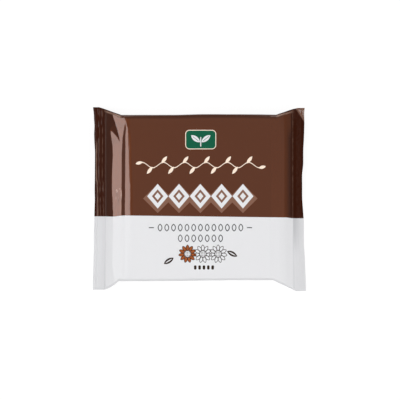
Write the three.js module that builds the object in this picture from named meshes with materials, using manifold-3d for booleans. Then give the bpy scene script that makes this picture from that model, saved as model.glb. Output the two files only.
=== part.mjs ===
// Chocolate halva, 250 g, shut in its printed flow-wrap and lying on its back, front up.
//
// The halva is a flat square slab. One sheet of film goes round it as a tube: the film's two long
// edges meet along the back in a fin seal, which is folded flat, and the tube's two ends are
// pressed shut in ribbed seals. The tube is as wide as the slab is tall and thick, so where it is
// pressed flat it is wider than the slab, and its corners stand out as ears. The pack is opaque
// and shut, so it is one closed solid out to the film.
//
// Millimetres. X runs from the left seal to the right seal, Y up the front, Z up from the table.
// The origin is on the table, under the middle of the pack.

import * as THREE from "three";
import { mergeVertices } from "three/addons/utils/BufferGeometryUtils.js";
import Module from "manifold-3d";

// ---- Driving sizes ----

const THICKNESS = 15.4; // of the wrapped slab, from its back panel to its front panel
const BODY_TOP = 60.5; // the side wall that faces up the front
const BODY_BOTTOM = -58.6; // the side wall that faces down the front
const EDGE_ROUND = 3.2; // how far the film takes to turn from a panel into a side wall
const SEAL_THICKNESS = 0.5; // two layers of film, with the air in their ribs
const RIB_PITCH = 1.3; // of the ribs that are pressed into the end seals
const RIB_HEIGHT = 0.36; // of a rib, from its valley to its crest
const FIN_WIDTH = 10; // of the fin seal on the back
const FIN_BOTTOM_EDGE = -3; // where the fold of the fin seal lies, across the back
const FIN_THICKNESS = 0.45; // of the fin seal, folded flat
const FIN_SETBACK = 0.3; // of the fin seal's ends behind the cut edges

// Each end: how far its cut edge is from the middle of the pack, how much further out the edge
// is at its ears, and how the panels rise from the seal's inner line to their full height, as
// [distance inwards, share of the rise].
const LEFT_END = {
  cutEdge: 75.5,
  earReach: 1.2,
  sealWidth: 7.9,
  rise: [[0, 0], [2.5, 0.36], [5, 0.6], [8.5, 0.8], [11.8, 0.95], [13.8, 0.955], [15.5, 0.985], [17.5, 1]],
};
const RIGHT_END = {
  cutEdge: 74.0,
  earReach: 2.3,
  sealWidth: 7.2,
  rise: [[0, 0], [2, 0.45], [4, 0.76], [5.5, 0.9], [7, 0.965], [9, 1]],
};

// Each ear: how far it stands from the middle line of the pack, and where along the pack it
// starts to narrow and has become the side wall.
const EARS = {
  topLeft: { height: 65.9, narrowsAt: 71.8, endsAt: 56.0 },
  topRight: { height: 65.8, narrowsAt: 69.5, endsAt: 53.5 },
  bottomLeft: { height: -65.0, narrowsAt: 67.9, endsAt: 57.2 },
  bottomRight: { height: -65.9, narrowsAt: 69.3, endsAt: 52.5 },
};

// Folds in the front panel's slopes, as [x, y] of their two ends, with how deep they are pressed
// in and how far the film around them gives way.
const FRONT_FOLDS = [
  { from: [-66.5, 60], to: [-57.2, 41], depth: 0.8, reach: 3.4 },
  { from: [-67, -57], to: [-58.5, -47], depth: 0.6, reach: 3 },
  { from: [66, 60], to: [59.5, 50], depth: 0.6, reach: 3 },
  { from: [66, -60], to: [59, -49], depth: 0.6, reach: 3 },
];

// ---- How finely the film is drawn ----

const STEPS_ROUND_EDGE = 5;
const STEPS_ACROSS_PANEL = 24;
const SLOPE_STEP = 1.3;
const BODY_STEPS = 7;

const MIDDLE_Z = FIN_THICKNESS + THICKNESS / 2; // the seals lie at half the slab's height

// ---- Shape of the film ----

const { clamp, lerp, smoothstep } = THREE.MathUtils;

/** A value read from [place, value] pairs, straight between them and constant past both ends. */
function readLine(pairs, place) {
  const last = pairs.length - 1;
  if (place <= pairs[0][0]) return pairs[0][1];
  if (place >= pairs[last][0]) return pairs[last][1];
  const next = pairs.findIndex(([start]) => start > place);
  const [x0, y0] = pairs[next - 1];
  const [x1, y1] = pairs[next];
  return lerp(y0, y1, (place - x0) / (x1 - x0));
}

/** The end that a place along the pack belongs to. */
const endAt = (x) => (x < 0 ? LEFT_END : RIGHT_END);

/** How far a place is from the end seal's inner line, inwards. It is negative in the seal. */
const inwardsOfSeal = (x) => endAt(x).cutEdge - endAt(x).sealWidth - Math.abs(x);

/** Half the thickness of the pack at a place along it. */
function halfThickness(x) {
  const share = readLine(endAt(x).rise, inwardsOfSeal(x));
  return lerp(SEAL_THICKNESS / 2, THICKNESS / 2, share);
}

/** How far the pack reaches from its middle line, towards the ear's own side. */
function reach(x, ear, body) {
  const narrowed = clamp((ear.narrowsAt - Math.abs(x)) / (ear.narrowsAt - ear.endsAt), 0, 1);
  return lerp(ear.height, body, narrowed);
}

const topAt = (x) => reach(x, x < 0 ? EARS.topLeft : EARS.topRight, BODY_TOP);
const bottomAt = (x) => reach(x, x < 0 ? EARS.bottomLeft : EARS.bottomRight, BODY_BOTTOM);

/** Height of the seal's ribs above their middle plane: crest and valley follow each other. */
function ribs(x) {
  const intoSeal = -inwardsOfSeal(x);
  if (intoSeal <= 0) return 0;
  return (RIB_HEIGHT / 2) * Math.sin((intoSeal / RIB_PITCH) * 2 * Math.PI);
}

/** How far the cut edge and the seal bow outwards, away from the middle of the pack. */
function bow(x, y) {
  const share = 1 - smoothstep(inwardsOfSeal(x), 0, 16);
  return Math.sign(x) * share * endAt(x).earReach * (y / BODY_TOP) ** 2;
}

/** How far the folds press the front panel in at a point. */
function foldDepth(x, y) {
  const point = new THREE.Vector3(x, y, 0);
  const nearest = new THREE.Vector3();
  const depths = FRONT_FOLDS.map(({ from, to, depth, reach: width }) => {
    const fold = new THREE.Line3(new THREE.Vector3(...from, 0), new THREE.Vector3(...to, 0));
    fold.closestPointToPoint(point, true, nearest);
    return depth * Math.max(0, 1 - nearest.distanceTo(point) / width);
  });
  const roomForFolds = smoothstep(inwardsOfSeal(x), 0, 3);
  return Math.max(...depths) * roomForFolds;
}

/**
 * The upper half of the pack's section at a place along it, from its lower side to its upper
 * side, as [y, share of the half thickness]. The side walls are upright with rounded edges along
 * the slab, and are pinched to a crease where the tube is pressed flat.
 */
function halfSection(x) {
  const flattened = 1 - smoothstep(inwardsOfSeal(x), 0, 12);
  const edge = inwardsOfSeal(x) < 0 ? SEAL_THICKNESS : EDGE_ROUND;
  const power = lerp(0.5, 1.6, flattened);
  const [bottom, top] = [bottomAt(x), topAt(x)];
  const turn = [];
  for (let i = 0; i < STEPS_ROUND_EDGE; i++) {
    const angle = (i / STEPS_ROUND_EDGE) * (Math.PI / 2);
    turn.push([edge * (1 - Math.cos(angle) ** power), Math.sin(angle) ** power]);
  }
  const panel = [];
  for (let i = 0; i <= STEPS_ACROSS_PANEL; i++) {
    panel.push([lerp(bottom + edge, top - edge, i / STEPS_ACROSS_PANEL), 1]);
  }
  return [
    ...turn.map(([inset, share]) => [bottom + inset, share]),
    ...panel,
    ...turn.reverse().map(([inset, share]) => [top - inset, share]),
  ];
}

/** The places along the pack where the film's section is drawn. */
function stations() {
  const places = [];
  for (const [end, way] of [[LEFT_END, -1], [RIGHT_END, 1]]) {
    const sealLine = end.cutEdge - end.sealWidth;
    const slopeEnd = sealLine - end.rise.at(-1)[0];
    const ribSteps = Math.round(end.sealWidth / (RIB_PITCH / 4));
    for (let i = 0; i <= ribSteps; i += 2) {
      places.push(way * lerp(end.cutEdge, sealLine, i / ribSteps));
    }
    const slopeSteps = Math.round((sealLine - slopeEnd) / SLOPE_STEP);
    for (let i = 1; i <= slopeSteps; i++) {
      places.push(way * lerp(sealLine, slopeEnd, i / slopeSteps));
    }
  }
  places.sort((a, b) => a - b);
  const gap = places.findIndex((x) => x > 0);
  const [left, right] = [places[gap - 1], places[gap]];
  for (let i = 1; i < BODY_STEPS; i++) places.push(lerp(left, right, i / BODY_STEPS));
  return places.sort((a, b) => a - b);
}

/** One closed section of the film at a place along the pack, over the front and under the back. */
function ring(x) {
  const half = halfThickness(x);
  const middle = MIDDLE_Z + ribs(x);
  const upper = halfSection(x);
  const front = upper.map(([y, share]) => [
    x + bow(x, y),
    y,
    middle + share * (half - foldDepth(x, y)),
  ]);
  const back = upper.slice(1, -1).map(([y, share]) => [x + bow(x, y), y, middle - share * half]);
  return [...front, ...back.reverse()];
}

/** The closed skin of the film: its rings joined in turn, and each end shut across its cut edge. */
function filmGeometry() {
  const rings = stations().map(ring);
  const count = rings[0].length;
  const index = [];
  const at = (station, i) => station * count + ((i + count) % count);
  for (let station = 0; station + 1 < rings.length; station++) {
    for (let i = 0; i < count; i++) {
      const [a, b] = [at(station, i), at(station, i + 1)];
      const [c, d] = [at(station + 1, i), at(station + 1, i + 1)];
      index.push(a, c, b, b, c, d);
    }
  }
  // Point i of the front and point -i of the back lie over each other, so the cut edge is a strip.
  const last = rings.length - 1;
  for (let i = 0; i < count / 2; i++) {
    index.push(at(0, i), at(0, i + 1), at(0, -i), at(0, -i), at(0, i + 1), at(0, -i - 1));
    index.push(at(last, i), at(last, -i), at(last, i + 1));
    index.push(at(last, i + 1), at(last, -i), at(last, -i - 1));
  }
  const geometry = new THREE.BufferGeometry();
  geometry.setAttribute("position", new THREE.Float32BufferAttribute(rings.flat(2), 3));
  geometry.setIndex(index);
  return geometry;
}

/** The fin seal: a flat ribbon that follows the back from one end of the pack to the other. */
function finGeometry() {
  const places = stations().filter(
    (x) => Math.abs(x) < endAt(x).cutEdge - FIN_SETBACK,
  );
  const back = places.map((x) => [x, MIDDLE_Z + ribs(x) - halfThickness(x)]);
  const sunk = SEAL_THICKNESS / 4; // into the film, so that the two join
  const outline = [
    ...back.map(([x, z]) => new THREE.Vector2(x, z - FIN_THICKNESS)),
    ...back.map(([x, z]) => new THREE.Vector2(x, z + sunk)).reverse(),
  ];
  const ribbon = new THREE.ExtrudeGeometry(new THREE.Shape(outline), {
    depth: FIN_WIDTH,
    bevelEnabled: false,
  });
  // The outline was drawn in X and Z, so the ribbon is turned up from the XY plane.
  return ribbon.rotateX(Math.PI / 2).translate(0, FIN_BOTTOM_EDGE + FIN_WIDTH, 0);
}

// ---- Joining the fin seal to the film ----

const wasm = await Module();
wasm.setup();

function toSolid(geometry) {
  const bare = geometry.clone();
  bare.deleteAttribute("normal");
  bare.deleteAttribute("uv");
  const merged = mergeVertices(bare, 1e-4);
  const triVerts = new Uint32Array(merged.index.array);
  const vertProperties = new Float32Array(merged.attributes.position.array);
  return new wasm.Manifold(new wasm.Mesh({ numProp: 3, vertProperties, triVerts }));
}

function toGeometry(solid) {
  const { vertProperties, triVerts } = solid.getMesh();
  const geometry = new THREE.BufferGeometry();
  geometry.setAttribute("position", new THREE.BufferAttribute(vertProperties, 3));
  geometry.setIndex(new THREE.BufferAttribute(triVerts, 1));
  geometry.computeVertexNormals();
  return geometry;
}

const pack = new THREE.Mesh(
  toGeometry(toSolid(filmGeometry()).add(toSolid(finGeometry()))),
  new THREE.MeshStandardMaterial({ color: 0x5e392a, roughness: 0.22, metalness: 0 }),
);
pack.name = "halva_pack";

// The origin is under the middle of the pack, whichever ear reaches furthest.
pack.geometry.computeBoundingBox();
const middle = pack.geometry.boundingBox.getCenter(new THREE.Vector3());
pack.position.set(-middle.x, -middle.y, -pack.geometry.boundingBox.min.z);

const part = new THREE.Group();
part.add(pack);

export default part;
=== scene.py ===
"""Chocolate halva, 250 g, shut in its printed flow-wrap: the looks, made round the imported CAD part.

The pack is one web of polypropylene film. It is laid flat, taken round the slab as a tube, pressed
shut by ribbed jaws at both ends, and closed along the back by a fin seal that is folded flat. The
pieces here are made in that order too. The print is drawn by the film's material on a map of the
flat web, in millimetres: across the map runs along the pack, up the map runs round it, and its
0, 0 is the middle of the front panel.
"""

import math
from dataclasses import dataclass
from functools import partial

import bpy
import numpy as np
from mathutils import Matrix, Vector, noise


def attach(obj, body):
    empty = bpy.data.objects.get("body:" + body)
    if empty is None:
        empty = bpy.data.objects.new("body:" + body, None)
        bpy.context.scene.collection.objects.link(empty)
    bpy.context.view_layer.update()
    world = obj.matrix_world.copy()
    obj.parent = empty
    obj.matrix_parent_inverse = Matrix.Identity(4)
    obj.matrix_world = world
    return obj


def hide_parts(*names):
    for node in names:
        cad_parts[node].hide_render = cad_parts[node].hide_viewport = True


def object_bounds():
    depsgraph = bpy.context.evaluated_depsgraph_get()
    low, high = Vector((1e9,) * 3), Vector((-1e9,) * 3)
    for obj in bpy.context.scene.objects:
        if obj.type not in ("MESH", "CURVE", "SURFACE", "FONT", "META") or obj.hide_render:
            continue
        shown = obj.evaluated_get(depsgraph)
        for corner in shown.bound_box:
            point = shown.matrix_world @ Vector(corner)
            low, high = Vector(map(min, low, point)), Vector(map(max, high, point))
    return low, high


bl_info = {
    "name": "Chocolate Halva Pack",
    "version": (1, 0, 0),
    "blender": (4, 5, 0),
    "location": "3D View > Sidebar > Halva Pack",
    "description": "Makes the printed flow-wrap of a slab of chocolate halva",
    "category": "Add Mesh",
}

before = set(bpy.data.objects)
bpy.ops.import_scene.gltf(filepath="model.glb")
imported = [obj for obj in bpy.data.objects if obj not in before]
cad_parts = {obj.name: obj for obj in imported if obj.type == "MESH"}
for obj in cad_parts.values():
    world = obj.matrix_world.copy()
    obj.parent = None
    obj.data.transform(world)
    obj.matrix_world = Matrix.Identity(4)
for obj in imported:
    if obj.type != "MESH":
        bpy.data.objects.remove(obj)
CAD_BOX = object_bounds()

MM = 0.001
PACK_NODE = "halva_pack"
BODY = "root"


# ---- Shape of the film, in millimetres ----
#
# X runs from the left seal to the right seal, Y up the front, Z up from the table.

SEAL_THICKNESS = 0.5  # two layers of film, with the air in their ribs
RIB_PITCH = 2.1  # of the ribs that the jaws press into the end seals
FIN_ROOT = 7.0  # where the two edges of the web meet on the back
FIN_WIDTH = 10.0
FIN_THICKNESS = 0.3
FIN_GAP = 0.45  # how high the folded fin holds the slab above the table
FIN_RIB_PITCH = 1.4
FIN_WEB_EDGE = 128.0  # where the fin starts on the web, from the middle of the front panel
SIDE_EDGE = 3.0  # how far the film takes to turn from a panel into a side wall
EAR_EDGE = 1.7  # the same where the tube is pressed flat into an ear
ARC_POWER = 0.55  # of the turn into a side wall: 1 is round, and less is squarer
CHAMFER = 0.55  # how high the slack film's chamfer stands inside an ear's fold
FLAT_REACH = 13.0  # how far inwards of a seal's line the tube's sides are still flattened
EAR_LEVEL = 60.0  # a height up the front that is in an ear
EAR_CREASE = 1.75  # how far in from the pack's upper edge its ears are creased

# Between the seal and the face the film is a tent of flat facets with creases between them. A row
# gives the height up the front, then how far inwards of the seal's line each of the facets' corners
# is, and then how far above the seal. The first facet starts on the seal's line itself.
TENT_RISE = 7.45  # how high the tents reach here, which is scaled to the slab's thickness
LEFT_TENT = (
    (-59.2, (0.9, 7.5, 11.9, 11.9, 12.8, 13.6, 14.9, 16.4), (1.0, 5.0, 6.65, 6.65, 6.9, 7.0, 7.3, 7.45)),
    (-47.7, (0.9, 5.4, 11.8, 11.8, 12.4, 14.2, 16.2, 18.2), (1.0, 4.1, 6.5, 6.5, 6.65, 6.75, 7.28, 7.45)),
    (-10.3, (0.9, 5.7, 11.5, 11.5, 12.1, 14.3, 17.8, 19.9), (1.0, 4.35, 6.5, 6.5, 6.5, 6.42, 7.3, 7.45)),
    (5.0, (0.9, 4.9, 11.6, 11.6, 12.2, 14.4, 17.9, 19.9), (1.0, 3.95, 6.4, 6.4, 6.5, 6.42, 7.3, 7.45)),
    (17.0, (0.9, 4.9, 11.7, 11.7, 12.2, 14.6, 17.1, 19.2), (1.0, 3.95, 6.4, 6.4, 6.5, 6.44, 7.2, 7.45)),
    (31.5, (0.9, 5.6, 11.6, 11.6, 12.2, 14.75, 16.6, 18.8), (1.0, 4.42, 6.45, 6.45, 6.6, 6.52, 7.18, 7.45)),
    (38.9, (0.9, 5.2, 11.4, 11.4, 12.5, 14.95, 16.2, 18.7), (1.0, 4.14, 6.25, 6.25, 6.55, 6.6, 7.12, 7.45)),
    (43.7, (0.9, 4.3, 9.2, 10.4, 12.8, 14.8, 16.3, 18.5), (1.0, 3.35, 5.2, 6.0, 6.6, 6.62, 7.2, 7.45)),
    (49.6, (0.9, 3.7, 3.7, 9.2, 14.1, 14.9, 16.6, 18.0), (1.0, 3.0, 3.0, 5.95, 7.22, 7.0, 7.42, 7.45)),
    (54.0, (0.9, 7.8, 7.8, 7.8, 14.6, 14.7, 15.3, 17.8), (1.0, 5.48, 5.48, 5.48, 7.1, 7.1, 7.25, 7.45)),
    (58.1, (0.9, 6.0, 6.0, 6.0, 13.7, 13.8, 16.4, 17.8), (1.0, 4.95, 4.95, 4.95, 7.0, 7.02, 7.3, 7.45)),
    (66.0, (0.9, 5.4, 5.4, 5.4, 13.3, 13.4, 16.4, 17.5), (1.0, 4.85, 4.85, 4.85, 7.0, 7.02, 7.3, 7.45)),
)
RIGHT_TENT = (
    (-66.0, (0.9, 3.0, 4.6, 6.3, 9.8, 16.5), (0.5, 1.8, 2.9, 4.1, 5.75, 7.45)),
    (-16.0, (0.9, 3.0, 4.5, 6.3, 9.5, 16.0), (0.5, 1.9, 3.0, 4.2, 5.85, 7.45)),
    (-11.0, (0.9, 3.0, 4.5, 6.3, 9.5, 16.0), (0.8, 2.6, 3.7, 4.85, 5.95, 7.45)),
    (40.0, (0.9, 3.0, 4.5, 6.3, 9.5, 16.0), (0.8, 2.62, 3.75, 4.9, 5.95, 7.45)),
    (58.1, (0.9, 3.0, 4.6, 6.3, 9.8, 16.5), (0.7, 2.3, 3.4, 4.3, 5.8, 7.45)),
)
BACK_TENT = (
    (-66.0, (0.9, 7.0, 12.0, 16.0), (1.0, 5.0, 7.0, 7.45)),
    (0.0, (0.9, 5.0, 10.0, 15.0), (1.0, 4.2, 6.7, 7.45)),
    (66.0, (0.9, 7.0, 12.0, 16.0), (1.0, 5.0, 7.0, 7.45)),
)


@dataclass
class Ear:
    """A corner of the pack, where the flattened tube is wider than the slab."""

    height: float  # from the pack's middle line to its tip
    narrows_at: float  # along the pack, where it starts to narrow
    ends_at: float  # along the pack, where it has become the side wall
    fullness: float = 1.0  # above 1, its edge is full between the two


@dataclass
class End:
    """One end of the pack, from the face's edge out to the cut edge."""

    side: int  # -1 at the left and 1 at the right
    cut: tuple  # how far out the cut edge lies, at heights up the front
    line: tuple  # the same for the seal's inner line
    seal_width: float
    droop: float  # how far the cut edge hangs below the seal's line, or stands above it
    tallest_rib: float  # as a share of the rib height
    tent: tuple
    top: Ear
    bottom: Ear


# How far out each cut edge lies, at heights up the front.
LEFT_CUT = (
    (-66.0, 1.5), (-57.0, 1.45), (-51.0, 1.25), (-45.5, 1.1), (-40.0, 0.92), (-34.0, 0.7), (-28.0, 0.85),
    (-22.0, 0.7), (-17.0, 0.57), (-8.0, 0.38), (0.0, 0.1), (5.0, 0.3), (10.0, 0.2), (18.0, 0.1), (31.0, 0.0),
    (35.0, 0.0), (39.0, 0.35), (48.0, 0.7), (52.4, 0.2), (57.0, 0.8), (61.0, 0.72), (66.0, 1.57),
)
RIGHT_CUT = (
    (-66.0, 2.9), (-57.0, 2.55), (-45.5, 2.1), (-40.0, 1.85), (-34.0, 1.35), (-28.0, 1.3), (-17.0, 1.3),
    (-8.0, 0.7), (-4.0, 0.4), (0.0, 0.08), (9.0, 0.1), (18.0, 0.0), (20.0, 0.2), (22.5, 0.75), (27.0, 0.9),
    (35.0, 0.85), (44.0, 1.4), (52.0, 1.65), (57.0, 1.75), (61.0, 1.25), (66.0, 1.75),
)
LEFT = End(
    side=-1,
    cut=LEFT_CUT,
    line=((-66.0, 0.9), (-40.0, 0.3), (-10.0, 0.15), (50.0, 0.15), (66.0, 0.5)),
    seal_width=7.55,
    droop=-0.3,
    tallest_rib=1.5,
    tent=LEFT_TENT,
    top=Ear(65.9, narrows_at=71.3, ends_at=56.0),
    bottom=Ear(65.45, narrows_at=68.3, ends_at=57.6, fullness=1.6),
)
RIGHT = End(
    side=1,
    cut=RIGHT_CUT,
    line=((-66.0, 1.7), (-40.0, 0.8), (-10.0, 0.0), (50.0, 0.0), (66.0, -0.3)),
    seal_width=6.85,
    droop=2.0,
    tallest_rib=0.5,
    tent=RIGHT_TENT,
    top=Ear(65.35, narrows_at=69.8, ends_at=54.8),
    bottom=Ear(66.5, narrows_at=68.0, ends_at=52.5, fullness=1.05),
)

# The side walls aren't quite straight: how far out each is, along the pack.
SAG = {
    "top": ((-50.0, -0.15), (-15.0, -0.1), (0.0, 0.35), (25.0, 0.4), (50.0, 0.1)),
    "bottom": ((-58.0, 0.65), (-20.0, 0.55), (0.0, 0.2), (25.0, 0.0), (54.0, -0.1)),
}

# The upper right ear's tip is turned up along this line, from its inner end to its outer end.
DOG_EAR = ((69.5, 64.3), (73.9, 57.6))
DOG_EAR_SLOPE = 0.64

# How far in from the cut edge the outermost rib's crest lies: on the left at heights up the front.
LEFT_CREST = ((-10.0, 2.05), (2.0, 1.95), (11.0, 1.85), (14.0, 1.15), (26.0, 1.1), (40.0, 1.3))
RIGHT_CREST = 1.9

# Levels of the mask of painted shade: on the end slopes, and on the seals, where the jaws have also
# matted the film, in its brown part and in its white part. At 1 the film is fully matted and its
# painted shade is darkest.
SLOPE_SHADE = 0.75
PRESSED_SHADED_BROWN = 0.95
PRESSED_SHADED_WHITE = 0.84

BORDER = -12.6  # between the brown field above and the white field below

# How finely the film is drawn: steps of each stretch along the pack, and round it.
RIB_STEP = 0.15
SLOPE_STEP = 0.45
BODY_STEP = 1.2
SLOPE_REACH = 20.0
TURN_STEPS = 9
PANEL_STEPS = 148


def smoothstep(value, low, high):
    """0 below low and 1 above high, with a smooth rise between them."""
    share = np.clip((value - low) / (high - low), 0, 1)
    return share * share * (3 - 2 * share)


def plateau(value, rise_from, rise_to, fall_from, fall_to):
    """1 on a stretch and 0 off it, with a smooth rise and a smooth fall."""
    return smoothstep(value, rise_from, rise_to) * (1 - smoothstep(value, fall_from, fall_to))


def ridge(distance, width):
    """1 on a line, and falling smoothly to 0 at both sides of it."""
    return np.exp(-((distance / width) ** 2))


def lerp(start, end, share):
    return start + (end - start) * share


def noise_at(x, y, size, seed):
    """Smooth noise from about -1 to 1, with lumps of a size in millimetres."""
    x, y = np.broadcast_arrays(x, y)
    values = (noise.noise((a / size, b / size, seed)) for a, b in zip(x.flat, y.flat))
    return np.fromiter(values, float, x.size).reshape(x.shape)


def eased(place, table):
    """A value from a table of places, with its corners rounded off."""
    return sum(np.interp(place + shift, *zip(*table)) for shift in (-2.4, -0.8, 0.8, 2.4)) / 4


def tent_corners(tent, y):
    """How far inwards and how high each corner of a tent's facets is, at heights up the front."""
    heights, *tables = (np.array(column, float) for column in zip(*tent))
    from_line = (np.pad(table, ((0, 0), (1, 0))).T for table in tables)
    return [tuple(np.interp(y, heights, values) for values in corner) for corner in zip(*from_line)]


class PackShape:
    """Where the film of the shut pack lies, in millimetres, from the scene's sizes."""

    def __init__(self, sizes):
        self.top = sizes.body_top / MM
        self.bottom = sizes.body_bottom / MM
        self.half = (sizes.pack_height / MM - FIN_GAP) / 2
        self.middle = FIN_GAP + self.half
        self.rib_height = sizes.rib_height / MM
        self.reach = {-1: sizes.left_reach / MM, 1: sizes.right_reach / MM}

    def cut_edge(self, end):
        """How far the cut edge is from the middle of the pack, where it lies furthest in."""
        return self.reach[end.side] - max(out for _, out in end.cut)

    def inwards(self, end, x):
        """How far places along the pack are from an end's seal line, inwards."""
        return self.cut_edge(end) - end.seal_width - end.side * x

    def by_end(self, x, value):
        """value(end) for the end that each place along the pack is nearest to."""
        return np.where(x < 0, value(LEFT), value(RIGHT))

    def past_line(self, x):
        """How far places along the pack are from the nearest seal line, inwards."""
        return self.by_end(x, lambda end: self.inwards(end, x))

    def reach_of(self, x, edge):
        """How far the pack reaches from its middle line to its top or its bottom edge."""
        body = getattr(self, edge) + eased(x, SAG[edge])

        def value(end):
            ear = getattr(end, edge)
            share = np.clip((ear.narrows_at - abs(x)) / (ear.narrows_at - ear.ends_at), 0, 1)
            return lerp(ear.height, body, share**ear.fullness)

        return self.by_end(x, value)

    def bow(self, x, y):
        """How far the seals bow outwards, mostly towards their ears."""

        def value(end):
            inwards = self.inwards(end, x)
            cut, line = (eased(y, table) for table in (end.cut, end.line))
            into = np.clip(-inwards / end.seal_width, 0, 1)
            return end.side * lerp(line * (1 - smoothstep(inwards, 0, 16)), cut, into)

        return self.by_end(x, value)

    def ribs(self, x, y):
        """The height of the seals' ribs above their middle plane."""

        def value(end):
            into = -self.inwards(end, x)
            room = plateau(into, 0.1, 0.9, end.seal_width - 0.5, end.seal_width)
            crest = np.cos((into - self.outer_crest(end, y)) / RIB_PITCH * math.pi) ** 4
            uneven = 0.6 + 1.2 * noise_at(end.side * 30 + into * 0.8, y, 5, seed=3.1)
            worn = np.clip(uneven, 0.1, end.tallest_rib)
            # The left seal's outermost rib is its tallest
            outermost = smoothstep(into, end.seal_width - 3.0, end.seal_width - 2.2) * (end.side < 0)
            taller = 1.5 + 1.3 * (1 - smoothstep(y, 38, 48))
            return room * (crest - 0.4) * lerp(worn, taller, outermost) * self.rib_height

        return self.by_end(x, value)

    def outer_crest(self, end, y):
        """How far out of the seal's line the outermost rib's crest lies."""
        if end.side < 0:
            return end.seal_width - np.interp(y, *zip(*LEFT_CREST))
        return end.seal_width - RIGHT_CREST + 0.35 * noise_at(30 + y * 0, y, 14, seed=4.2)

    def bend(self, x, y):
        """How far the seals hang, wave and turn up, away from the pack's middle plane."""

        def value(end):
            into = np.clip(-self.inwards(end, x) / end.seal_width, 0, 1.4)
            wave = noise_at(end.side * 50 + x * 0, y, 24, seed=7.7)
            return -end.droop * into**1.25 + 0.45 * wave * into

        return self.by_end(x, value) + DOG_EAR_SLOPE * np.maximum(self.past_dog_ear(x, y), 0)

    def tent_rise(self, tent, inwards, y):
        """How far the film is above its seal, at places inwards of the seal's line."""
        corners = tent_corners(tent, y)
        rise = np.where(inwards > 0, corners[-1][1], 0.0)
        for (start, low), (end, high) in zip(corners, corners[1:]):
            share = (inwards - start) / np.maximum(end - start, 1e-6)
            rise = np.where((inwards >= start) & (inwards < end), lerp(low, high, share), rise)
        return rise * (self.half - SEAL_THICKNESS / 2) / TENT_RISE

    def front_rise(self, x, y):
        """Half the pack's thickness on the side of the front."""

        def value(end):
            inwards = self.inwards(end, x)
            rise = self.tent_rise(end.tent, inwards, y)
            if end.side > 0:
                return rise
            # Low down, the last fold before the face is soft
            soft = sum(self.tent_rise(end.tent, inwards + shift, y) for shift in (-1.4, -0.5, 0.5, 1.4)) / 4
            return lerp(rise, soft, smoothstep(inwards, 15, 16.5) * (1 - smoothstep(y, 8, 18)))

        slack = 0.05 * noise_at(x, y, 17, seed=1.3) + 0.025 * noise_at(x, y, 6, seed=5.9)
        # The left slope is crinkled half-way up the front
        crinkle = 0.24 * noise_at(x, y, 2.2, seed=9.2) * smoothstep(-x, 50, 56) * plateau(y, -14, -11, 4, 14)
        on_slab = smoothstep(self.past_line(x), 1, 12)
        return SEAL_THICKNESS / 2 + self.by_end(x, value) + (slack + crinkle) * on_slab

    def back_rise(self, x, y):
        """Half the pack's thickness on the side of the back."""

        def value(end):
            return self.tent_rise(BACK_TENT, self.inwards(end, x), y)

        return SEAL_THICKNESS / 2 + self.by_end(x, value)

    def stations(self):
        """The places along the pack where the film's section is drawn."""
        runs = []
        for end in (LEFT, RIGHT):
            edge = self.cut_edge(end)
            line = edge - end.seal_width
            ribs = np.linspace(edge, line, round(end.seal_width / RIB_STEP) + 1)
            slope = np.linspace(line, line - SLOPE_REACH, round(SLOPE_REACH / SLOPE_STEP) + 1)
            runs.append(end.side * np.concatenate([ribs, slope[1:]]))
        left, right = runs[0], runs[1][::-1]
        body = np.linspace(left[-1], right[0], round((right[0] - left[-1]) / BODY_STEP) + 1)
        return np.concatenate([left, body[1:-1], right])

    def rings(self):
        """The film's sections: where each point is, and where it was on the flat web.

        The first and last sections are drawn twice, the second time without a thickness, so that
        the front and the back film meet there and close the cut edge.
        """
        x = self.stations()
        x = np.concatenate([x[:1], x, x[-1:]])[:, None]
        thick = np.ones_like(x)
        thick[[0, -1]] = 0
        inwards = self.past_line(x)
        top, bottom = self.reach_of(x, "top"), self.reach_of(x, "bottom")
        flattened = 1 - smoothstep(inwards, 0, FLAT_REACH)
        edge = lerp(lerp(SIDE_EDGE, EAR_EDGE, flattened), SEAL_THICKNESS, 1 - smoothstep(inwards, 0, 2))
        inset, share = self.turn(x, edge, flattened)
        low, high = edge - bottom, top - edge
        lower_steps = round(PANEL_STEPS * (self.bottom + FIN_ROOT) / (self.top + self.bottom))
        lower = lerp(low, FIN_ROOT, np.linspace(0, 1, lower_steps + 1)[None, :])
        upper = lerp(FIN_ROOT, high, np.linspace(0, 1, PANEL_STEPS - lower_steps + 1)[None, :])

        # Round the tube, from one edge of the web: back, lower side, front, upper side and back
        y = np.hstack([
            lower[:, ::-1], (inset - bottom)[:, -2::-1], (inset - bottom)[:, 1:], lower[:, 1:], upper[:, 1:],
            (top - inset)[:, -2::-1], (top - inset)[:, 1:], upper[:, -2::-1],
        ])
        level = np.hstack([
            -np.ones_like(lower), -share[:, -2::-1], share[:, 1:], np.ones_like(lower[:, 1:]),
            np.ones_like(upper[:, 1:]), share[:, -2::-1], -share[:, 1:], -np.ones_like(upper[:, 1:]),
        ])
        on_panel = np.clip(y, low, high)
        rise = np.where(level > 0, self.front_rise(x, on_panel), self.back_rise(x, on_panel))
        wall = (1 - abs(level)) * smoothstep(inwards, 2, 12)
        y = y - np.sign(y) * wall * (0.25 + 0.35 * noise_at(x, level * self.half, 11, seed=2.4))
        z = self.middle + self.ribs(x, y) + self.bend(x, y) + level * rise * thick
        places = np.stack([x + self.bow(x, y), y, z], axis=-1)
        return places, self.flat_web(x, places, first=lower.shape[1] + 2 * TURN_STEPS - 1)

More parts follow.
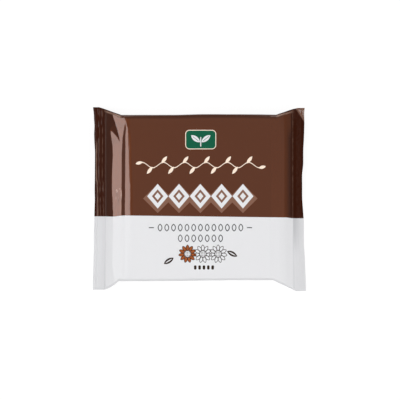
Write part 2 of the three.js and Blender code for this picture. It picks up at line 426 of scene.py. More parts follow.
    def turn(self, x, edge, flattened):
        """How far in and how far up the steps are in which a panel turns into a side wall.

        The turn is an arc along the slab, and it is steep with a chamfer inside it at an ear's fold.
        """
        quarter = np.linspace(0, math.pi / 2, TURN_STEPS + 1)[None, :]
        arc_in, arc_up = 1 - np.cos(quarter) ** ARC_POWER, np.sin(quarter) ** ARC_POWER
        rise = self.by_end(x, lambda end: self.tent_rise(end.tent, self.inwards(end, x), EAR_LEVEL))
        chamfer = np.clip(1 - CHAMFER / np.maximum(rise, 0.1), 0.4, 1)
        step = quarter / quarter.max()
        fold_in = np.interp(step, (0, 0.3, 0.5, 0.9, 1), (0, 0.12, 0.3, 0.95, 1.0))
        fold_up = np.interp(step, (0, 0.3, 0.5), (0, 0.6, 1)) * chamfer
        fold_up = fold_up + (1 - chamfer) * np.interp(step, (0.5, 0.9, 1), (0, 0.97, 1))
        return edge * lerp(arc_in, fold_in, flattened), lerp(arc_up, fold_up, flattened)

    def flat_web(self, x, places, first):
        """Where the film's points were on the flat web, from the front panel's first point."""
        last = first + PANEL_STEPS
        y, z = places[..., 1], places[..., 2]
        steps = np.hypot(np.diff(y, axis=1), np.diff(z, axis=1))
        round_web = y.copy()
        round_web[:, last + 1 :] = y[:, [last]] + np.cumsum(steps[:, last:], axis=1)
        round_web[:, :first] = y[:, [first]] - np.cumsum(steps[:, first - 1 :: -1], axis=1)[:, ::-1]
        round_web[[0, -1]] = round_web[[1, -2]]
        # The jaws have pulled the print at both ends a little way down the front
        round_web += 0.95 * smoothstep(-x, 53, 63) + 0.55 * smoothstep(x, 61, 67)
        centre = places[1:-1, (first + last) // 2, :]
        run = np.concatenate([[0], np.cumsum(np.linalg.norm(np.diff(centre[:, [0, 2]], axis=0), axis=1))])
        run -= np.interp(0, centre[:, 0], run)
        run = np.concatenate([run[:1], run, run[-1:]])
        return np.stack([run[:, None] * np.ones_like(round_web), round_web], axis=-1)

    def worked(self, x, y):
        """How much painted shade darkens the print, and how matted the film is on the seals, from 0 to 1."""

        def value(end):
            inwards = self.inwards(end, x)
            sealed = 1 - smoothstep(inwards, -0.5, 0.2)
            return lerp(self.drawn(end, inwards, y), self.pressed(end, inwards, x, y), sealed)

        inwards = self.past_line(x)
        beyond = np.abs(y) - np.where(y > 0, self.reach_of(x, "top"), self.reach_of(x, "bottom"))
        width = lerp(3.2, 2.4, 1 - smoothstep(inwards, 0, FLAT_REACH))
        # Painted shade along the pack's turned upper and lower edges
        turned = np.where(y > 0, 0.6, 0.82) * smoothstep(beyond + width, -0.5, 0.5)
        # Painted shade, darkest on the outermost film of the upper ears
        outermost = smoothstep(beyond + 0.9, -0.3, 0.3) * (1 - smoothstep(inwards, 10, 14)) * (y > 0)
        turned = np.maximum(turned, outermost)
        # Less painted shade on the dog-ear, which is painted light instead
        tip = self.turned_up(x, y)
        return np.maximum(self.by_end(x, value) * (1 - 0.7 * tip), turned * (1 - 0.8 * tip))

    def drawn(self, end, inwards, y):
        """Painted shade on an end's slope: at its foot, on its creases, and in a line along the seal low
        down.
        """
        if end.side > 0:
            # Painted shade on the right slope, darkest at its foot and fading into the upper ear
            foot = 0.2 * (1 - smoothstep(inwards, 2.0, 5.0)) * (y > BORDER)
            ear = 0.8 * smoothstep(y, 42, 54) * smoothstep(inwards, 1.0, 2.0)
            return (SLOPE_SHADE * (1 - smoothstep(inwards, 0.5, 6.5)) + foot) * (1 - ear)
        places = [place for place, _ in tent_corners(end.tent, y)]

        def facet(first, last):
            """1 between two of the tent's corners, where they are apart."""
            start, stop = places[first], places[last]
            band = plateau(inwards, start - 0.3, start + 0.3, stop - 0.3, stop + 0.3)
            return band * smoothstep(stop - start, 0.3, 1.0)

        # Painted shade at the foot of the left slope and on two of its creases
        foot = 1 - smoothstep(inwards, places[2] - 0.5, places[2] + 0.5)
        slope = np.maximum(SLOPE_SHADE * np.maximum(foot, facet(3, 4)), 0.55 * facet(5, 6))
        # A painted dark line along the seal's foot, low down in the white field
        low_line = 0.89 * plateau(inwards, 0.0, 0.6, 0.4, 1.0) * smoothstep(-y, 42, 47)
        return np.maximum(slope, low_line)

    def pressed(self, end, inwards, x, y):
        """How matted an end's seal is, and how much painted shade darkens it: unevenly, more along the right
        seal's line and on the right seal's white part, and fully at the cut edge.
        """
        # Painted shade along the right seal's line
        by_line = 0.12 * (1 - smoothstep(y, 50, 60)) * (1 - smoothstep(-inwards, 1.4, 3.0)) * (end.side > 0)
        uneven = 0.07 * noise_at(x, y, 1.6, seed=6.1) * (np.abs(inwards) < 9)
        # Painted shade, fullest at the cut edge
        by_cut = smoothstep(-inwards, end.seal_width - 1.1, end.seal_width - 0.6)
        brown = lerp(PRESSED_SHADED_BROWN + by_line + uneven, 1.0, by_cut)
        # Painted shade on the right seal's white part, most near the brown field and the seal's line
        more = 0.2 * (1 - smoothstep(-y, 18, 45)) if end.side > 0 else 0.03
        inner = np.clip(1 + inwards / end.seal_width, 0, 1)
        white = np.minimum(PRESSED_SHADED_WHITE + more * inner, 1.0)
        return np.where(y > BORDER, brown, white)

    def crazed(self, x, y):
        """Painted highlights, from 0 to 1: along the ribs' crests and the seals' lines, glints on the left
        slope, a pleat, a crease under the upper edge, and the dog-ear.
        """

        def value(end):
            """The painted highlights on an end's ribs, seal line, slope and pleat."""
            inwards = self.inwards(end, x)
            broken = np.clip(0.55 + 1.3 * noise_at(end.side * 20 - inwards * 0.5, y, 4, seed=2.9), 0, 1)
            # Painted highlight along the seal's line
            line = ridge(0.1 - inwards, 0.35)
            if end.side > 0:
                return 0.2 * line * (0.4 + broken)
            # Painted highlights along the left ribs' crests
            outer = -inwards - self.outer_crest(end, y)
            crests = 0.9 * ridge(outer, 0.24) * (1 - smoothstep(y, 37, 43)) * (0.5 + 0.5 * broken)
            for further_in, share in ((1.9, 0.22), (4.1, 0.3)):
                crests = crests + share * ridge(outer + further_in, 0.26) * broken
            # Painted glints on the crinkled left slope
            glints = smoothstep(noise_at(x, y, 1.3, seed=5.3), 0.15, 0.4)
            glints = glints * plateau(inwards, 6.5, 7.5, 11, 12) * plateau(y, -1, 2, 6, 8)
            # A painted highlight along the pleat before the face, low down
            crease = tent_corners(end.tent, y)[5][0] - 0.5
            pleat = ridge(inwards - crease, 0.26) * (1 - smoothstep(y, 3, 9))
            return np.maximum.reduce([crests, 0.07 * line, 0.7 * glints, 0.5 * pleat])

        patchy = np.clip(0.9 + 0.5 * noise_at(x, y * 0, 3, seed=8.8), 0.3, 1)
        # A painted highlight along the crease under the upper edge, by the ears
        fold = ridge(self.reach_of(x, "top") - y - EAR_CREASE, 0.45)
        fold = fold * plateau(self.past_line(x), -1.5, 1, 10, 13)
        # The dog-ear is painted lighter, but for a painted dark streak along its fold
        dark_streak = ridge(self.past_dog_ear(x, y) - 2.2, 0.5)
        on_front = np.maximum(fold * patchy, self.by_end(x, value))
        return np.maximum(on_front, 0.42 * self.turned_up(x, y) * (1 - dark_streak))

    def turned_up(self, x, y):
        """1 on the dog-ear and 0 elsewhere."""
        return smoothstep(self.past_dog_ear(x, y), 0, 0.5)

    def past_dog_ear(self, x, y):
        """How far places are beyond the line where the upper right ear's tip is turned up."""
        (x0, y0), (x1, y1) = DOG_EAR
        return ((x - x0) * (y0 - y1) + (y - y0) * (x1 - x0)) / math.hypot(x1 - x0, y1 - y0) * (x > 60)


# ---- Colour and nodes ----

MATHS, VECTORS, MIX = "ShaderNodeMath", "ShaderNodeVectorMath", "ShaderNodeMix"
SPLIT, JOIN = "ShaderNodeSeparateXYZ", "ShaderNodeCombineXYZ"
SHARE, FIRST, SECOND, MIXED = 0, 6, 7, 2  # a mix node's sockets for colours


def linear(hex_colour):
    """An sRGB hex colour as linear numbers."""
    shares = [int(hex_colour[i : i + 2], 16) / 255 for i in (1, 3, 5)]
    return tuple(s / 12.92 if s <= 0.04045 else ((s + 0.055) / 1.055) ** 2.4 for s in shares)


def add(tree, kind, inputs=(), out=0, **settings):
    """Adds a node with its settings and gives one of its outputs.

    The inputs are in the node's own order or keyed. A socket is linked, and a value is set.
    """
    node = tree.nodes.new(kind)
    for name, value in settings.items():
        setattr(node, name, value)
    for key, value in inputs.items() if isinstance(inputs, dict) else enumerate(inputs):
        if isinstance(value, bpy.types.NodeSocket):
            tree.links.new(value, node.inputs[key])
        else:
            node.inputs[key].default_value = value
    return node.outputs[out] if node.outputs else node


def empty_tree(owner):
    """The node tree of a new material or world, with nothing in it yet."""
    owner.use_nodes = True
    owner.node_tree.nodes.clear()
    return owner.node_tree


class Artwork:
    """The print on the flat web. A shape is a distance in millimetres, negative inside it."""

    EDGE = 0.12  # how soft an edge of the ink is

    def __init__(self, tree, inks):
        self.add = partial(add, tree)
        self.inks = inks
        self.web = self.add("ShaderNodeUVMap", uv_map="web")
        self.colour = inks["brown"]
        self.clear = 1.0  # 0 where an opaque ink lies

    def lay(self, ink, distance):
        """Prints a shape in an opaque ink over what is there."""
        inputs = {"Value": distance, "From Min": self.EDGE / 2, "From Max": -self.EDGE / 2}
        share = self.add("ShaderNodeMapRange", inputs)
        inputs = {SHARE: share, FIRST: self.colour, SECOND: self.inks[ink]}
        self.colour = self.add(MIX, inputs, MIXED, data_type="RGBA")
        self.clear = self.add(MATHS, [self.clear, share], operation="SUBTRACT", use_clamp=True)

    def about(self, x, y, turn=0.0, point=None):
        """The web's points measured from a centre, and turned."""
        moved = self.add(VECTORS, [point or self.web, (x, y, 0)], operation="SUBTRACT")
        if not turn:
            return moved
        inputs = {"Vector": moved, "Angle": -math.radians(turn)}
        return self.add("ShaderNodeVectorRotate", inputs, rotation_type="Z_AXIS")

    def row(self, point, pitch, count):
        """Points measured from the nearest of a row of centres, an odd count of them, a pitch apart."""
        end = pitch * (count - 1) / 2
        place = self.add(VECTORS, [point, (pitch / 2, 0, 0)], operation="ADD")
        place = self.add(VECTORS, [place, (pitch, 0, 0)], operation="SNAP")
        place = self.add(VECTORS, [place, (-end, 0, 0)], operation="MAXIMUM")
        place = self.add(VECTORS, [place, (end, 0, 0)], operation="MINIMUM")
        return self.add(VECTORS, [point, place], operation="SUBTRACT")

    def circle_of(self, point, count):
        """Points turned so that each of a ring of petals lies along +Y."""
        x, y = (self.add(SPLIT, [point], axis) for axis in "XY")
        angle = self.add(MATHS, [x, y], operation="ARCTAN2")
        angle = self.add(MATHS, [angle, math.pi / count, -math.pi / count], operation="WRAP")
        facing = [self.add(MATHS, [angle], operation=operation) for operation in ("SINE", "COSINE")]
        far = self.add(VECTORS, [point], "Value", operation="LENGTH")
        return self.add(VECTORS, {0: self.add(JOIN, facing), "Scale": far}, operation="SCALE")

    def disc(self, point, radius):
        far = self.add(VECTORS, [point], "Value", operation="LENGTH")
        return self.add(MATHS, [far, radius], operation="SUBTRACT")

    def box(self, point, half_width, half_height, corner=0.0):
        """A rectangle with rounded corners."""
        far = self.add(VECTORS, [point], operation="ABSOLUTE")
        over = self.add(VECTORS, [far, (half_width - corner, half_height - corner, 0)], operation="SUBTRACT")
        outside = self.add(VECTORS, [over, (0, 0, 0)], operation="MAXIMUM")
        outside = self.disc(outside, corner)
        x, y = (self.add(SPLIT, [over], axis) for axis in "XY")
        inside = self.add(MATHS, [x, y], operation="MAXIMUM")
        inside = self.add(MATHS, [inside, 0.0], operation="MINIMUM")
        return self.add(MATHS, [outside, inside], operation="ADD")

    def lozenge(self, point, half_width, half_height):
        length = math.hypot(half_width, half_height)
        far = self.add(VECTORS, [point], operation="ABSOLUTE")
        facing = (half_height / length, half_width / length, 0)
        along = self.add(VECTORS, [far, facing], "Value", operation="DOT_PRODUCT")
        return self.add(MATHS, [along, half_width * half_height / length], operation="SUBTRACT")

    def leaf(self, point, half_width, half_length):
        """A pointed oval, as two arcs make it, along +Y."""
        radius = (half_width**2 + half_length**2) / (2 * half_width)
        far = self.add(VECTORS, [point], operation="ABSOLUTE")
        far = self.add(VECTORS, [far, (radius - half_width, 0, 0)], operation="ADD")
        return self.disc(far, radius)

    def line(self, distance, width):
        """The outline of a shape, as wide as a pen's stroke."""
        off = self.add(MATHS, [distance], operation="ABSOLUTE")
        return self.add(MATHS, [off, width / 2], operation="SUBTRACT")

    def without(self, distance, *holes):
        for hole in holes:
            outside = self.add(MATHS, [0.0, hole], operation="SUBTRACT")
            distance = self.add(MATHS, [distance, outside], operation="MAXIMUM")
        return distance

    def union(self, distance, *others):
        for other in others:
            distance = self.add(MATHS, [distance, other], operation="MINIMUM")
        return distance


# ---- The print, on the flat web ----

BORDER_SLOPE = 0.0123  # of the border, as the web was a little askew
PITCH = 15.2  # of the vine's leaves and of the lozenges


def draw_fields(art):
    """The white field below the brown one."""
    facing = (BORDER_SLOPE, 1, 0)
    height = art.add(VECTORS, [art.web, facing], "Value", operation="DOT_PRODUCT")
    art.lay("white", art.add(MATHS, [height, BORDER], operation="SUBTRACT"))


def draw_tag(art):
    """A green tag with a cream line round it and a pair of white leaves."""
    tag = art.about(0.8, 42.2)
    art.lay("cream", art.box(tag, 11.0, 6.9, 3.0))
    art.lay("green", art.box(tag, 10.5, 6.4, 2.5))
    x, y = (art.add(SPLIT, [tag], axis) for axis in "XY")
    pair = art.add(JOIN, [art.add(MATHS, [x], operation="ABSOLUTE"), y])
    blade = art.about(3.7, 0.6, -52, pair)
    stem = art.box(art.about(0.8, 40.6), 0.35, 3.4, 0.2)
    vein = art.box(blade, 0.16, 2.6, 0.1)
    art.lay("white", art.union(art.without(art.leaf(blade, 1.7, 4.0), vein), stem))


def draw_vine(art):
    """A waving stem with a leaf at each bend and at both ends."""
    vine = art.about(0.8, 24.0)
    x, y = (art.add(SPLIT, [vine], axis) for axis in "XY")
    phase = art.add(MATHS, [x, 2 * math.pi / PITCH], operation="MULTIPLY")
    wave = art.add(MATHS, [phase], operation="SINE")
    above = art.add(MATHS, [wave, -1.9, y], operation="MULTIPLY_ADD")
    stem = art.line(above, 0.64)
    reach = art.line(x, 83.8)
    stem = art.add(MATHS, [stem, reach], operation="MAXIMUM")
    leaves = []
    for across, side, turn in ((3.8, 1, -38), (-3.8, -1, 142)):
        bends = art.row(art.about(across, 24.0), PITCH, 5)
        leaf = art.about(0, 2.2, 0, art.about(0, 2.0 * side, turn, bends))
        leaves.append(art.leaf(leaf, 1.15, 3.2))
    sign = art.add(MATHS, [x], operation="SIGN")
    outwards = art.add(VECTORS, {0: vine, "Scale": sign}, operation="SCALE")
    leaves.append(art.leaf(art.about(43.9, -1.5, -76, outwards), 1.1, 2.6))
    art.lay("cream", art.union(stem, *leaves))


def draw_lozenges(art):
    """A band of bold white lozenges over a paler echo of themselves."""
    art.lay("echo", art.lozenge(art.row(art.about(0.5, 0.2), PITCH, 5), 10.4, 10.4))
    bold = art.row(art.about(0.5, 1.8), PITCH, 5)
    shell = art.without(art.lozenge(bold, 7.5, 8.8), art.lozenge(bold, 4.1, 4.9))
    art.lay("white", art.union(shell, art.lozenge(bold, 2.2, 2.7)))


def draw_seed_rows(art):
    """Two rows of small seeds in a thin line, with a dash at each end of the first."""
    for down, count in ((-20.6, 13), (-28.2, 7)):
        spot = art.row(art.about(0.6, down), 4.8, count)
        art.lay("grey", art.line(art.leaf(spot, 1.35, 2.4), 0.6))
    middle = art.add(VECTORS, [art.about(0.6, -20.6)], operation="ABSOLUTE")
    art.lay("grey", art.box(art.about(35.0, 0, 0, middle), 1.8, 0.32, 0.1))


def draw_flowers(art):
    """Three sunflowers, the left one filled in, with a seed at either side and a row of bars below."""
    for across, filled in ((-8.6, True), (2.3, False), (13.2, False)):
        head = art.about(across, -39.3)
        petal = art.leaf(art.about(0, 4.3, 0, art.circle_of(head, 11)), 1.1, 2.1)
        if filled:
            art.lay("caramel", petal)
        art.lay("umber", art.line(petal, 0.4))
        art.lay("umber", art.line(art.disc(head, 2.3), 0.4))
        grains = art.row(head, 1.1, 5)
        x, y = (art.add(SPLIT, [grains], axis) for axis in "XY")
        grains = art.row(art.add(JOIN, [y, x]), 1.1, 5)
        grains = art.add(MATHS, [art.disc(grains, 0.3), art.disc(head, 1.9)], operation="MAXIMUM")
        art.lay("umber", grains)
    for across, down, turn in ((-22.0, -44.3, -58), (23.2, -39.2, 62)):
        spot = art.about(across, down, turn)
        art.lay("umber", art.without(art.leaf(spot, 1.7, 4.1), art.leaf(spot, 0.4, 2.9)))
    bars = art.row(art.about(3.1, -49.0), 3.1, 5)
    art.lay("umber", art.box(bars, 0.9, 1.5, 0.7))


def draw_back(art):
    """Blocks of plain lines on the back, where such a pack lists what is in it."""
    for ink_name, up, count in (("cream", 101.0, 7), ("grey", -100.0, 9)):
        lines = art.row(art.about(0, up, -90), 3.6, count)
        art.lay(ink_name, art.box(lines, 0.5, 42.0, 0.3))


def size(name, description, metres):
    """A length that a user can change."""
    return bpy.props.FloatProperty(name=name, description=description, default=metres, unit="LENGTH")


class HALVA_PG_sizes(bpy.types.PropertyGroup):
    """Sizes of the pack"""

    left_reach: size("Left reach", "From the middle of the pack to its left ears", -CAD_BOX[0].x)
    right_reach: size("Right reach", "From the middle of the pack to its right ears", CAD_BOX[1].x)
    pack_height: size("Pack height", "From the table to the front panel", CAD_BOX[1].z)
    body_top: size("Body top", "From the middle line to the upper side wall", 60.5 * MM)
    body_bottom: size("Body bottom", "From the middle line to the lower side wall", 58.6 * MM)
    rib_height: size("Rib height", "Of the ribs in the end seals, from valley to crest", 0.12 * MM)


def ink(name, description, hex_colour):
    """A colour that a user can change."""
    return bpy.props.FloatVectorProperty(
        name=name, description=description, default=linear(hex_colour), subtype="COLOR", min=0, max=1
    )


class HALVA_PG_inks(bpy.types.PropertyGroup):
    """Colours of the film's print"""

    brown: ink("Brown", "Clear brown ink over the metallised film", "#603015")
    white: ink("White", "Opaque white ink", "#E6E6E8")
    cream: ink("Cream", "Fine ornament on the brown field", "#FFEBD7")
    green: ink("Green", "Ground of the tag", "#175D43")
    grey: ink("Grey", "Fine ornament on the white field", "#35353A")
    echo: ink("Echo", "Paler brown behind the lozenges", "#86604F")
    umber: ink("Umber", "Outlines of the flowers and seeds", "#34271F")
    caramel: ink("Caramel", "Petals that are filled in", "#A0562E")


MATTED_SHADE_TINT = "#D7D7D8"  # painted shade on an opaque ink's colour, as on the white seals and edges
WORKED_SHADE_TINT = "#95817C"  # painted shade on the clear ink's colour, on the slopes, seals and edges
HIGHLIGHT_TINT = "#AD8B79"  # the colour of the painted highlights, a warm pale brown
CRUMB = 2.38  # the size of the slab's lumps, in millimetres


def film_colour(tree, art, worked, matted_and_shaded, crazed):
    """The print, darkened by painted shade, and lightened by painted highlights on the clear ink."""
    tints = []
    for share, tint in ((matted_and_shaded, MATTED_SHADE_TINT), (worked, WORKED_SHADE_TINT)):
        inputs = {SHARE: share, FIRST: (1, 1, 1, 1), SECOND: (*linear(tint), 1)}
        tints.append(add(tree, MIX, inputs, MIXED, data_type="RGBA"))
    tint = add(tree, MIX, {SHARE: art.clear, FIRST: tints[0], SECOND: tints[1]}, MIXED, data_type="RGBA")
    inputs = {SHARE: 1.0, FIRST: art.colour, SECOND: tint}
    shaded = add(tree, MIX, inputs, MIXED, data_type="RGBA", blend_type="MULTIPLY")
    # Painted highlights, on the clear ink only
    highlight = add(tree, MATHS, [crazed, art.clear], operation="MULTIPLY")
    highlight = add(tree, MATHS, [highlight, 0.8], operation="MULTIPLY")
    inputs = {SHARE: highlight, FIRST: shaded, SECOND: (*linear(HIGHLIGHT_TINT), 1)}
    return add(tree, MIX, inputs, MIXED, data_type="RGBA")


def film_material(context):
    """Biaxially oriented polypropylene film, metallised, and printed in reverse on its inner side.

    All its colours lie under the film's own gloss, which is the coat here. The brown is a clear ink
    over the metal, so it mirrors a lamp in a milky brown, and the other inks are opaque and stop the
    metal's glow. Painted shade darkens the print on the end slopes, along the turned edges and on the
    seals, where the jaws have also pressed the gloss away, and painted highlights lighten it along the
    ribs, the folds and the dog-ear.
    """
    found = bpy.data.materials.get("metallised_bopp_film")
    if found:
        return found
    material = bpy.data.materials.new("metallised_bopp_film")
    tree = empty_tree(material)
    inks = context.scene.halva_inks
    art = Artwork(tree, {name: (*getattr(inks, name), 1.0) for name in inks.__annotations__})
    for draw in (draw_fields, draw_tag, draw_vine, draw_lozenges, draw_seed_rows, draw_flowers, draw_back):
        draw(art)
    clear = art.clear
    worked, crazed = (
        add(tree, "ShaderNodeAttribute", (), "Fac", attribute_name=name) for name in ("worked", "crazed")
    )
    # Past the slopes' level the mask also paints shade on the opaque inks, and mattes the gloss
    matted_and_shaded = add(tree, "ShaderNodeMapRange", {"Value": worked, "From Min": SLOPE_SHADE, "From Max": 1.0})

    # The gloss and the metal's glow show most through the clear ink, and hardly where it is matted
    gloss = add(tree, MATHS, [clear, 0.8, 0.2], operation="MULTIPLY_ADD")
    metal = add(tree, MATHS, [clear, 0.36], operation="MULTIPLY")
    kept = add(tree, MATHS, [matted_and_shaded, -0.85, 1.0], operation="MULTIPLY_ADD")

    # The slab's crumb telegraphs through the film, and less where opaque ink lies on it
    place = add(tree, "ShaderNodeTexCoord", (), "Object")
    inputs = {"Vector": place, "Scale": 1 / (CRUMB * MM), "Detail": 3.0}
    crumb = add(tree, "ShaderNodeTexNoise", inputs, "Fac")
    proud = add(tree, MATHS, [clear, 0.2, 0.05], operation="MULTIPLY_ADD")
    bump = add(tree, "ShaderNodeBump", {"Height": crumb, "Strength": proud, "Distance": 0.05 * MM})

    inputs = {
        "Base Color": film_colour(tree, art, worked, matted_and_shaded, crazed),
        "Metallic": add(tree, MATHS, [metal, kept], operation="MULTIPLY"),
        "Roughness": add(tree, MATHS, [clear, -0.15, 0.5], operation="MULTIPLY_ADD"),
        "Coat Weight": add(tree, MATHS, [gloss, kept], operation="MULTIPLY"),
        "Coat Roughness": 0.09,
        "Coat IOR": 1.5,
        "Specular IOR Level": 0.0,
        "Normal": bump,
        "Coat Normal": bump,
    }
    shader = add(tree, "ShaderNodeBsdfPrincipled", inputs)
    add(tree, "ShaderNodeOutputMaterial", {"Surface": shader})
    return material


# ---- Modelling ----


def deselect_all():
    if bpy.context.mode != "OBJECT":
        bpy.ops.object.mode_set(mode="OBJECT")
    bpy.ops.object.select_all(action="DESELECT")


def make_map(mesh, name, by_vertex):
    """Gives a mesh a UV map from a place for each of its vertices."""
    layer = mesh.uv_layers.new(name=name)
    corners = np.empty(len(mesh.loops), int)
    mesh.loops.foreach_get("vertex_index", corners)
    layer.data.foreach_set("uv", by_vertex[corners].ravel())


def sheet_of(name, places, web):
    """A sheet of film with its points at places and its map of the flat web.

    It comes with the columns and the rows that its vertices have in those two.
    """
    along, across = places.shape[:2]
    deselect_all()
    bpy.ops.mesh.primitive_grid_add(x_subdivisions=along - 1, y_subdivisions=across - 1, size=1)
    sheet = bpy.context.object
    sheet.name = sheet.data.name = name
    flat = np.empty(along * across * 3)
    sheet.data.vertices.foreach_get("co", flat)
    shares = flat.reshape(-1, 3)[:, :2] + 0.5
    order = tuple(np.rint(shares * [along - 1, across - 1]).astype(int).T)
    sheet.data.vertices.foreach_set("co", (places[order] * MM).ravel())
    sheet.data.uv_layers.remove(sheet.data.uv_layers[0])
    make_map(sheet.data, "web", web[order])
    return sheet, order


def dress(piece, context):
    """Gives a finished piece its shading, its material and its place in the frame."""
    bpy.ops.object.shade_smooth_by_angle(angle=math.radians(50))
    piece.data.materials.append(film_material(context))
    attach(piece, BODY)
    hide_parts(PACK_NODE)


class HALVA_OT_film_wrap(bpy.types.Operator):
    """Form the flat printed web round the slab and shut it at both ends"""

    bl_idname = "halva.film_wrap"
    bl_label = "Film wrap"
    bl_options = {"REGISTER", "UNDO"}

    def execute(self, context):
        shape = PackShape(context.scene.halva_sizes)
        places, web = shape.rings()
        film, order = sheet_of("film_wrap", places, web)

        # A second map, OFBake: the whole web, which leaves its borders free
        low, high = web[..., 1].min(axis=1), web[..., 1].max(axis=1)
        along = lerp(0.01, 0.99, (web[..., 0] - web[0, 0, 0]) / (web[-1, 0, 0] - web[0, 0, 0]))
        along[0], along[-1] = 0.002, 0.998  # the cut edges' own strips
        round_it = lerp(0.005, 0.995, (web[..., 1] - low[:, None]) / (high - low)[:, None])
        make_map(film.data, "OFBake", np.stack([along, round_it], axis=-1)[order])

        x, y = places[..., 0], places[..., 1]
        # The masks of painted shade and of painted highlights, kept on the film's points
        for name, share in (("worked", shape.worked(x, y)), ("crazed", shape.crazed(x, y))):
            share = share * (places[..., 2] > 1)  # not on the back panel, which lies lower
            layer = film.data.attributes.new(name, "FLOAT", "POINT")
            layer.data.foreach_set("value", share[order].astype(np.float32))
        inwards = shape.past_line(x)
        creased = film.vertex_groups.new(name="creased")
        on_slope = (inwards > np.where(x < 0, 0.3, 0.6)) & (inwards < SLOPE_REACH)
        creased.add(np.flatnonzero(on_slope[order]).tolist(), 1.0, "REPLACE")

        # The two edges of the web meet along the back, and the front and back film at the cut edges
        bpy.ops.object.mode_set(mode="EDIT")
        bpy.ops.mesh.select_all(action="SELECT")
        bpy.ops.mesh.remove_doubles(threshold=1e-7)
        bpy.ops.object.mode_set(mode="OBJECT")

        ease = film.modifiers.new("Ease creases", "SMOOTH")
        ease.factor, ease.iterations, ease.vertex_group = 0.5, 2, creased.name
        bpy.ops.object.modifier_apply(modifier=ease.name)
        dress(film, context)
        return {"FINISHED"}


class HALVA_OT_fin_seal(bpy.types.Operator):
    """Join the web's two edges along the back in a ribbed fin, folded flat"""

    bl_idname = "halva.fin_seal"
    bl_label = "Fin seal"
    bl_options = {"REGISTER", "UNDO"}

    def execute(self, context):
        shape = PackShape(context.scene.halva_sizes)
        x = shape.stations()[::2]
        # From the root round the fold and out flat, and how far proud of the back that is
        fold = np.array([0.35, 0.25, -0.1, -0.9, *np.linspace(-1.8, -FIN_WIDTH, 9)])
        proud = np.array([0.0, 0.1, 0.17, 0.2, *([0.2] * 9)])
        x, y = (grid.T for grid in np.meshgrid(x, FIN_ROOT + fold))
        ribs = np.cos(x / FIN_RIB_PITCH * 2 * math.pi) * 0.05 * smoothstep(-fold, 1.0, 2.0)
        z = shape.middle + shape.bend(x, y) - shape.back_rise(x, y) - proud + ribs
        places = np.stack([x + shape.bow(x, y), y, np.maximum(z, FIN_THICKNESS / 2)], axis=-1)
        web = np.stack([x, FIN_WEB_EDGE + FIN_ROOT - y], axis=-1)
        fin, _ = sheet_of("fin_seal", places, web)
        fin.data.flip_normals()
        walls = fin.modifiers.new("Two layers of film", "SOLIDIFY")
        walls.thickness, walls.offset = FIN_THICKNESS * MM, 0
        bpy.ops.object.modifier_apply(modifier=walls.name)
        dress(fin, context)
        return {"FINISHED"}


# Each lamp's name, its elevation and azimuth from the pack in degrees, and its distance, width,
# height and brightness
LAMPS = (
    ("left_softbox", 51, 180, 0.95, 0.52, 0.56, 4.3),
    ("right_rear_softbox", 40, 60, 1.1, 0.6, 0.6, 1.85),
    ("right_front_softbox", 40, -38, 1.1, 0.6, 0.6, 3.9),
    ("front_softbox", 57, -107, 0.96, 0.16, 0.16, 3.6),
    ("left_rear_softbox", 40, 112, 1.1, 0.4, 0.6, 1.5),
    ("top_softbox", 68, 0, 1.6, 1.4, 1.9, 0.21),
)


def card_material():
    """Matt white card, lit from below as on a light table, so that it shows hardly a shadow."""
    card = bpy.data.materials.new("matt_white_card")
    tree = empty_tree(card)
    inputs = {
        "Base Color": (*linear("#6C6C6C"), 1),
        "Roughness": 0.9,
        "Emission Color": (1, 1, 1, 1),
        "Emission Strength": 0.88,
    }
    shader = add(tree, "ShaderNodeBsdfPrincipled", inputs)
    add(tree, "ShaderNodeOutputMaterial", {"Surface": shader})
    return card


def white_room():
    """A world that is white to the camera and gives the pack a dim light from all round."""
    world = bpy.data.worlds.new("studio")
    tree = empty_tree(world)
    seen = add(tree, "ShaderNodeBackground", {"Color": (1, 1, 1, 1), "Strength": 1.0})
    room = add(tree, "ShaderNodeBackground", {"Color": (1, 1, 1, 1), "Strength": 0.25})
    by_camera = add(tree, "ShaderNodeLightPath", (), "Is Camera Ray")
    both = add(tree, "ShaderNodeMixShader", [by_camera, room, seen])
    add(tree, "ShaderNodeOutputWorld", {"Surface": both})
    return world


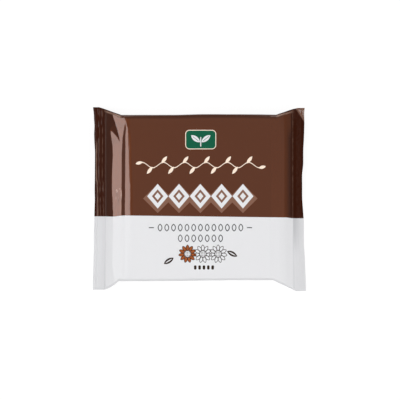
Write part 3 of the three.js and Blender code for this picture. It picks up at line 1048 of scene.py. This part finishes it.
class HALVA_OT_studio(bpy.types.Operator):
    """Set the pack on a pale floor, in soft light, under a camera that looks straight down"""

    bl_idname = "halva.studio"
    bl_label = "Studio"
    bl_options = {"REGISTER", "UNDO"}

    def execute(self, context):
        scene = context.scene
        scene.view_settings.view_transform = "Standard"
        scene.world = white_room()

        deselect_all()
        bpy.ops.mesh.primitive_plane_add(size=12)
        floor = context.object
        floor.name = "floor"
        floor.data.materials.append(card_material())

        for name, elevation, azimuth, distance, across, up, brightness in LAMPS:
            up_angle, round_angle = math.radians(elevation), math.radians(azimuth)
            away = Vector((
                math.cos(up_angle) * math.cos(round_angle),
                math.cos(up_angle) * math.sin(round_angle),
                math.sin(up_angle),
            ))
            light = bpy.data.lights.new(name, "AREA")
            light.shape = "RECTANGLE"
            light.size, light.size_y = across, up
            light.energy = brightness * math.pi * across * up
            lamp = bpy.data.objects.new(name, light)
            lamp.location = away * distance
            lamp.rotation_euler = away.to_track_quat("Z", "Y").to_euler()
            scene.collection.objects.link(lamp)

        # Looking straight down from 0.8 m above the seals, where a pixel is then 0.72 mm
        lens = bpy.data.cameras.new("camera")
        lens.lens, lens.sensor_width = 100, 36
        camera = bpy.data.objects.new("camera", lens)
        camera.location = (0.28 * MM, -0.9 * MM, 0.8 + 8 * MM)
        scene.collection.objects.link(camera)
        scene.camera = camera
        return {"FINISHED"}


class HALVA_PT_pack(bpy.types.Panel):
    """Lists the steps and the values of the pack"""

    bl_idname = "HALVA_PT_pack"
    bl_label = "Chocolate Halva Pack"
    bl_space_type = "VIEW_3D"
    bl_region_type = "UI"
    bl_category = "Halva Pack"

    def draw(self, context):
        for step in STEPS:
            self.layout.operator(step.bl_idname)
        for group in (context.scene.halva_sizes, context.scene.halva_inks):
            column = self.layout.column()
            for name in group.__annotations__:
                column.prop(group, name)


STEPS = (HALVA_OT_film_wrap, HALVA_OT_fin_seal, HALVA_OT_studio)
CLASSES = (HALVA_PG_sizes, HALVA_PG_inks, *STEPS, HALVA_PT_pack)


def register():
    for each in CLASSES:
        bpy.utils.register_class(each)
    bpy.types.Scene.halva_sizes = bpy.props.PointerProperty(type=HALVA_PG_sizes)
    bpy.types.Scene.halva_inks = bpy.props.PointerProperty(type=HALVA_PG_inks)


def unregister():
    del bpy.types.Scene.halva_sizes, bpy.types.Scene.halva_inks
    for each in reversed(CLASSES):
        bpy.utils.unregister_class(each)


def main():
    register()
    bpy.ops.halva.film_wrap()
    bpy.ops.halva.fin_seal()
    bpy.ops.halva.studio()


if __name__ == "__main__":
    main()
